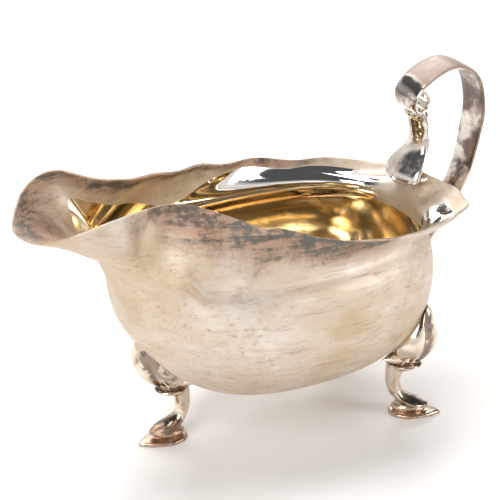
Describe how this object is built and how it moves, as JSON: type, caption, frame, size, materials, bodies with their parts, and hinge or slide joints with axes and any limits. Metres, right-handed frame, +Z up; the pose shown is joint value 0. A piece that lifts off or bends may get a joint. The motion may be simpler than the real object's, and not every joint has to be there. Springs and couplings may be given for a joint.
{
  "type": "sauce boat",
  "caption": "Silver sauce boat with a shaped everted rim, flying scroll strap handle, gilt interior and cast feet with leaf knees.",
  "frame": {"origin": "centre of the overall length on the table plane, on the mirror plane", "axes": "+Z up, spout towards -X, handle towards +X, mirror plane y = 0"},
  "size_m": [0.1636, 0.079, 0.1112],
  "materials": {
    "bowl_silver": "satin",
    "handle_silver": "polished",
    "foot_silver": "polished"
  },
  "bodies": {
    "root": {"bowl": "bowl_silver", "handle_strap": "handle_silver", "handle_stem": "handle_silver", "foot_front_knee": "foot_silver", "foot_front_leg": "foot_silver", "foot_front_pad": "foot_silver", "foot_left_knee": "foot_silver", "foot_left_leg": "foot_silver", "foot_left_pad": "foot_silver", "foot_right_knee": "foot_silver", "foot_right_leg": "foot_silver", "foot_right_pad": "foot_silver"}
  },
  "joints": []
}
